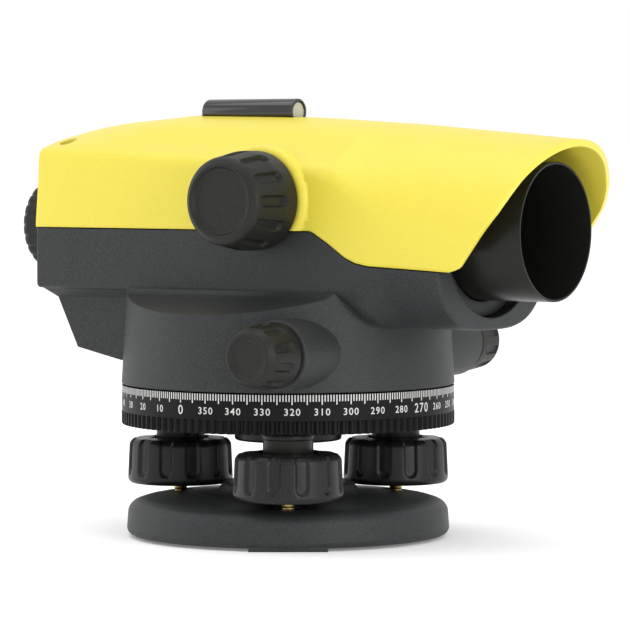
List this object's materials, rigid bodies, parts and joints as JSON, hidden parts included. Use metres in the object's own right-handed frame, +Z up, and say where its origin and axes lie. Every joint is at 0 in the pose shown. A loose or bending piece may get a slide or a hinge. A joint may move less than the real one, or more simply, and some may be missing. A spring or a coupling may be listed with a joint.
{
  "type": "automatic level",
  "caption": "Surveying automatic level: telescope body with hood, sight and focus knob, turning on a graduated circle above a levelling base with foot screws.",
  "frame": {"origin": "middle of the overall length and width, on the plane under the base pads; the vertical axis stands 4.7 mm behind it", "axes": "+X along the line of sight towards the target, +Y to the left of a person at the eyepiece, +Z up"},
  "size_m": [0.1898, 0.1206, 0.1285],
  "materials": {
    "cover_plastic": "satin moulded yellow plastic",
    "body_casting": "fine spark-textured grey lacquer",
    "base_casting": "fine spark-textured grey lacquer",
    "knob_plastic": "satin black plastic",
    "grip_rubber": "soft dark green-black rubber",
    "circle_plastic": "near-black with pale graduation",
    "black_metal": "black anodised, satin",
    "sight_plastic": "glossy black",
    "brass": "machined",
    "steel": "machined",
    "glass": "polished",
    "prism_glass": "polished",
    "mirror": "silvered"
  },
  "bodies": {
    "base": {"base_plate": "base_casting", "tripod_thread_bush": "brass"},
    "levelling_seats": {"seat_washer_2": "steel", "seat_washer_3": "steel"},
    "tribrach": {"tribrach_body": "black_metal", "axis_bush": "brass", "foot_bush_1": "black_metal", "foot_bush_2": "black_metal", "foot_bush_3": "black_metal"},
    "foot_carrier_1": {"foot_cup_1": "brass"},
    "foot_screw_1": {"foot_spindle_1": "brass", "foot_knob_1": "knob_plastic"},
    "foot_carrier_2": {"foot_cup_2": "brass"},
    "foot_screw_2": {"foot_spindle_2": "brass", "foot_knob_2": "knob_plastic"},
    "foot_carrier_3": {"foot_cup_3": "brass"},
    "foot_screw_3": {"foot_spindle_3": "brass", "foot_knob_3": "knob_plastic"},
    "circle": {"circle_ring": "circle_plastic"},
    "clutch": {"worm_wheel": "brass", "clutch_spring": "steel", "clutch_collar": "steel"},
    "alidade": {"main_body": "body_casting", "top_cover": "cover_plastic", "cover_screw_near": "steel", "cover_screw_far": "steel", "axis_spindle": "steel", "drive_bush_near": "brass", "drive_bush_far": "brass", "focus_bush": "brass", "sunshade_tube": "black_metal", "objective_cell": "black_metal", "objective_lens": "glass", "front_baffle": "body_casting", "reticle": "glass", "reticle_mount": "black_metal", "eyepiece_sleeve": "black_metal", "compensator_frame": "body_casting", "pendulum_pin": "steel", "sight_tube": "sight_plastic", "sight_front_lens": "glass", "sight_rear_lens": "glass", "bubble_holder": "body_casting", "bubble_vial": "glass", "bubble_mirror": "mirror"},
    "fine_drive": {"drive_shaft": "steel", "drive_knob_near": "grip_rubber", "drive_knob_far": "grip_rubber"},
    "focus_drive": {"focus_knob": "grip_rubber", "focus_pinion_shaft": "steel"},
    "focusing_slide": {"focusing_cell": "black_metal", "focusing_lens": "glass", "focus_rack": "steel"},
    "dioptre": {"dioptre_ring": "grip_rubber"},
    "ocular": {"ocular_cell": "black_metal", "eye_lens": "glass"},
    "pendulum": {"pendulum": "brass", "pendulum_prism": "prism_glass", "damper_magnet": "steel"}
  },
  "joints": [
    {"name": "level_tilt_a", "type": "hinge", "parent": "base", "child": "levelling_seats", "pos_m": [-0.01545, 0.01524, 0.0073], "axis": [-0.8171, -0.5764, 0], "range_deg": [-2, 2]},
    {"name": "level_tilt_b", "type": "hinge", "parent": "levelling_seats", "child": "tribrach", "pos_m": [-0.01545, 0.01524, 0.0073], "axis": [0.5764, -0.8171, 0], "range_deg": [-2, 2]},
    {"name": "foot_travel_1", "type": "slide", "parent": "tribrach", "child": "foot_carrier_1", "axis": [0, 0, 1], "range_m": [-0.0021, 0.0021]},
    {"name": "foot_turn_1", "type": "hinge", "parent": "foot_carrier_1", "child": "foot_screw_1", "pos_m": [0.0168, -0.03048, 0.0073], "axis": [0, 0, 1], "range_deg": [-760, 760]},
    {"name": "foot_travel_2", "type": "slide", "parent": "tribrach", "child": "foot_carrier_2", "axis": [0, 0, 1], "range_m": [-0.0013, 0.0013]},
    {"name": "foot_turn_2", "type": "hinge", "parent": "foot_carrier_2", "child": "foot_screw_2", "pos_m": [0.01095, 0.03386, 0.0073], "axis": [0, 0, 1], "range_deg": [-460, 460]},
    {"name": "foot_travel_3", "type": "slide", "parent": "tribrach", "child": "foot_carrier_3", "axis": [0, 0, 1], "range_m": [-0.0013, 0.0013]},
    {"name": "foot_turn_3", "type": "hinge", "parent": "foot_carrier_3", "child": "foot_screw_3", "pos_m": [-0.04185, -0.00338, 0.0073], "axis": [0, 0, 1], "range_deg": [-460, 460]},
    {"name": "circle_turn", "type": "hinge", "parent": "tribrach", "child": "circle", "pos_m": [-0.0047, 0, 0.039], "axis": [0, 0, 1], "continuous": true},
    {"name": "coarse_turn", "type": "hinge", "parent": "tribrach", "child": "clutch", "pos_m": [-0.0047, 0, 0.05], "axis": [0, 0, 1], "continuous": true},
    {"name": "fine_turn", "type": "hinge", "parent": "clutch", "child": "alidade", "pos_m": [-0.0047, 0, 0.056], "axis": [0, 0, 1], "continuous": true},
    {"name": "fine_drive_turn", "type": "hinge", "parent": "alidade", "child": "fine_drive", "pos_m": [0.0239, 0, 0.056], "axis": [0, -1, 0], "continuous": true},
    {"name": "focus_turn", "type": "hinge", "parent": "alidade", "child": "focus_drive", "pos_m": [0.0073, -0.04, 0.099], "axis": [0, -1, 0], "range_deg": [-270, 270]},
    {"name": "focus_travel", "type": "slide", "parent": "alidade", "child": "focusing_slide", "axis": [1, 0, 0], "range_m": [-0.0105, 0.0105]},
    {"name": "dioptre_turn", "type": "hinge", "parent": "alidade", "child": "dioptre", "pos_m": [-0.0867, 0, 0.0905], "axis": [-1, 0, 0], "range_deg": [-150, 150]},
    {"name": "ocular_travel", "type": "slide", "parent": "alidade", "child": "ocular", "axis": [1, 0, 0], "range_m": [-0.003, 0.003]},
    {"name": "compensator_swing", "type": "hinge", "parent": "alidade", "child": "pendulum", "pos_m": [-0.0357, 0, 0.1045], "axis": [0, 1, 0], "range_deg": [-0.5, 0.5]}
  ],
  "couplings": [
    {"joint": "foot_travel_1", "follows": "level_tilt_a", "m_per_rad": -0.05595},
    {"joint": "foot_turn_1", "follows": "level_tilt_a", "ratio": 351.54},
    {"joint": "foot_travel_2", "follows": "level_tilt_b", "m_per_rad": -0.032303},
    {"joint": "foot_turn_2", "follows": "level_tilt_b", "ratio": 202.96},
    {"joint": "foot_travel_3", "follows": "level_tilt_b", "m_per_rad": 0.032303},
    {"joint": "foot_turn_3", "follows": "level_tilt_b", "ratio": -202.96},
    {"joint": "fine_drive_turn", "follows": "fine_turn", "ratio": 48},
    {"joint": "focus_travel", "follows": "focus_turn", "m_per_rad": 0.0019},
    {"joint": "ocular_travel", "follows": "dioptre_turn", "m_per_rad": 0.00095}
  ]
}
